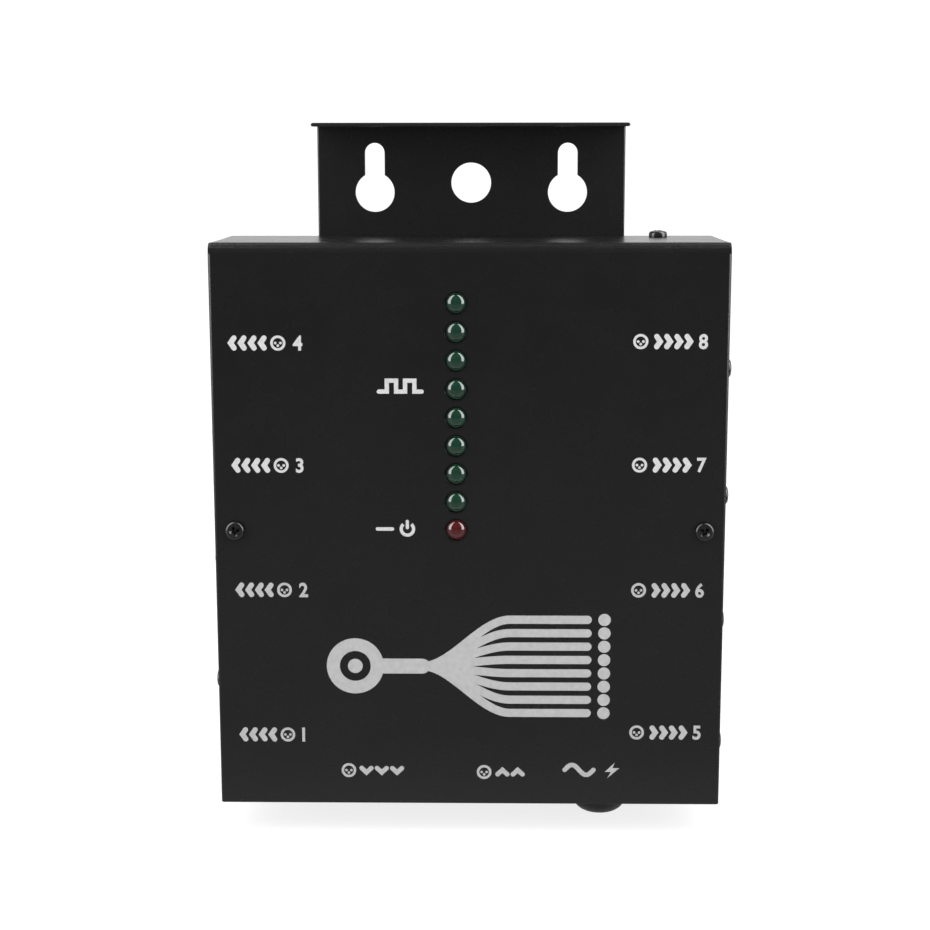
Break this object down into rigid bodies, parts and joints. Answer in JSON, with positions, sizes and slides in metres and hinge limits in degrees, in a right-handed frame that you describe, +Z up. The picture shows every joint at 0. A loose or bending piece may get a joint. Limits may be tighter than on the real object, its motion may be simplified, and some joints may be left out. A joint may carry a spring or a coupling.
{
  "type": "dmx splitter",
  "caption": "Flat black sheet metal box that repeats one lighting control input to side sockets, with a lamp column on its front and a keyhole hanging tab on top.",
  "frame": {"origin": "middle of the outer face of the back plate, which lies on the wall", "axes": "+X to the right seen from the front, +Y into the wall, +Z up towards the hanging tab"},
  "size_m": [0.1542, 0.0481, 0.212],
  "materials": {
    "black_coat": "satin black powder coat with a fine grain",
    "black_screw": "black zinc, slightly shiny",
    "connector_black": "black coated die casting",
    "latch_metal": "dull nickel",
    "nickel": "nickel plated",
    "black_plastic": "moulded black plastic",
    "gland_plastic": "moulded black nylon",
    "seal_rubber": "soft black rubber",
    "green_lens": "tinted green epoxy, unlit",
    "red_lens": "tinted red epoxy, unlit",
    "board": "green solder mask",
    "terminal_green": "moulded green plastic",
    "fuse_glass": "glass tube with metal caps",
    "ribbon": "grey ribbon cable sleeve"
  },
  "bodies": {
    "housing": {"rear_chassis": "black_coat", "front_cover": "black_coat", "front_screw_left": "black_screw", "front_screw_right": "black_screw", "top_screw": "black_screw", "power_lamp": "red_lens", "signal_lamp_1": "green_lens", "signal_lamp_2": "green_lens", "signal_lamp_3": "green_lens", "signal_lamp_4": "green_lens", "signal_lamp_5": "green_lens", "signal_lamp_6": "green_lens", "signal_lamp_7": "green_lens", "signal_lamp_8": "green_lens", "lamp_board": "board", "lamp_board_spacer_lower": "nickel", "lamp_board_spacer_upper": "nickel", "output_1_shell": "connector_black", "output_1_insert": "black_plastic", "output_2_shell": "connector_black", "output_2_insert": "black_plastic", "output_3_shell": "connector_black", "output_3_insert": "black_plastic", "output_4_shell": "connector_black", "output_4_insert": "black_plastic", "output_5_shell": "connector_black", "output_5_insert": "black_plastic", "output_6_shell": "connector_black", "output_6_insert": "black_plastic", "output_7_shell": "connector_black", "output_7_insert": "black_plastic", "output_8_shell": "connector_black", "output_8_insert": "black_plastic", "thru_shell": "connector_black", "thru_insert": "black_plastic", "input_shell": "connector_black", "input_insert": "black_plastic", "left_socket_board": "board", "right_socket_board": "board", "bottom_socket_board": "board", "main_board": "board", "power_module": "black_plastic", "fuse": "fuse_glass", "terminal_block": "terminal_green", "left_ribbon": "ribbon", "right_ribbon": "ribbon", "lamp_ribbon": "ribbon", "gland_body": "gland_plastic", "gland_nut": "gland_plastic", "gland_seal": "seal_rubber", "gland_locknut": "gland_plastic"},
    "output_1_latch": {"output_1_latch": "latch_metal"},
    "output_2_latch": {"output_2_latch": "latch_metal"},
    "output_3_latch": {"output_3_latch": "latch_metal"},
    "output_4_latch": {"output_4_latch": "latch_metal"},
    "output_5_latch": {"output_5_latch": "latch_metal"},
    "output_6_latch": {"output_6_latch": "latch_metal"},
    "output_7_latch": {"output_7_latch": "latch_metal"},
    "output_8_latch": {"output_8_latch": "latch_metal"},
    "thru_latch": {"thru_latch": "latch_metal"}
  },
  "joints": [
    {"name": "output_1_latch_press", "type": "slide", "parent": "housing", "child": "output_1_latch", "axis": [1, 0, 0], "range_m": [0, 0.0015], "stiffness_N_per_m": 800},
    {"name": "output_2_latch_press", "type": "slide", "parent": "housing", "child": "output_2_latch", "axis": [1, 0, 0], "range_m": [0, 0.0015], "stiffness_N_per_m": 800},
    {"name": "output_3_latch_press", "type": "slide", "parent": "housing", "child": "output_3_latch", "axis": [1, 0, 0], "range_m": [0, 0.0015], "stiffness_N_per_m": 800},
    {"name": "output_4_latch_press", "type": "slide", "parent": "housing", "child": "output_4_latch", "axis": [1, 0, 0], "range_m": [0, 0.0015], "stiffness_N_per_m": 800},
    {"name": "output_5_latch_press", "type": "slide", "parent": "housing", "child": "output_5_latch", "axis": [-1, 0, 0], "range_m": [0, 0.0015], "stiffness_N_per_m": 800},
    {"name": "output_6_latch_press", "type": "slide", "parent": "housing", "child": "output_6_latch", "axis": [-1, 0, 0], "range_m": [0, 0.0015], "stiffness_N_per_m": 800},
    {"name": "output_7_latch_press", "type": "slide", "parent": "housing", "child": "output_7_latch", "axis": [-1, 0, 0], "range_m": [0, 0.0015], "stiffness_N_per_m": 800},
    {"name": "output_8_latch_press", "type": "slide", "parent": "housing", "child": "output_8_latch", "axis": [-1, 0, 0], "range_m": [0, 0.0015], "stiffness_N_per_m": 800},
    {"name": "thru_latch_press", "type": "slide", "parent": "housing", "child": "thru_latch", "axis": [0, 0, 1], "range_m": [0, 0.0015], "stiffness_N_per_m": 800}
  ]
}
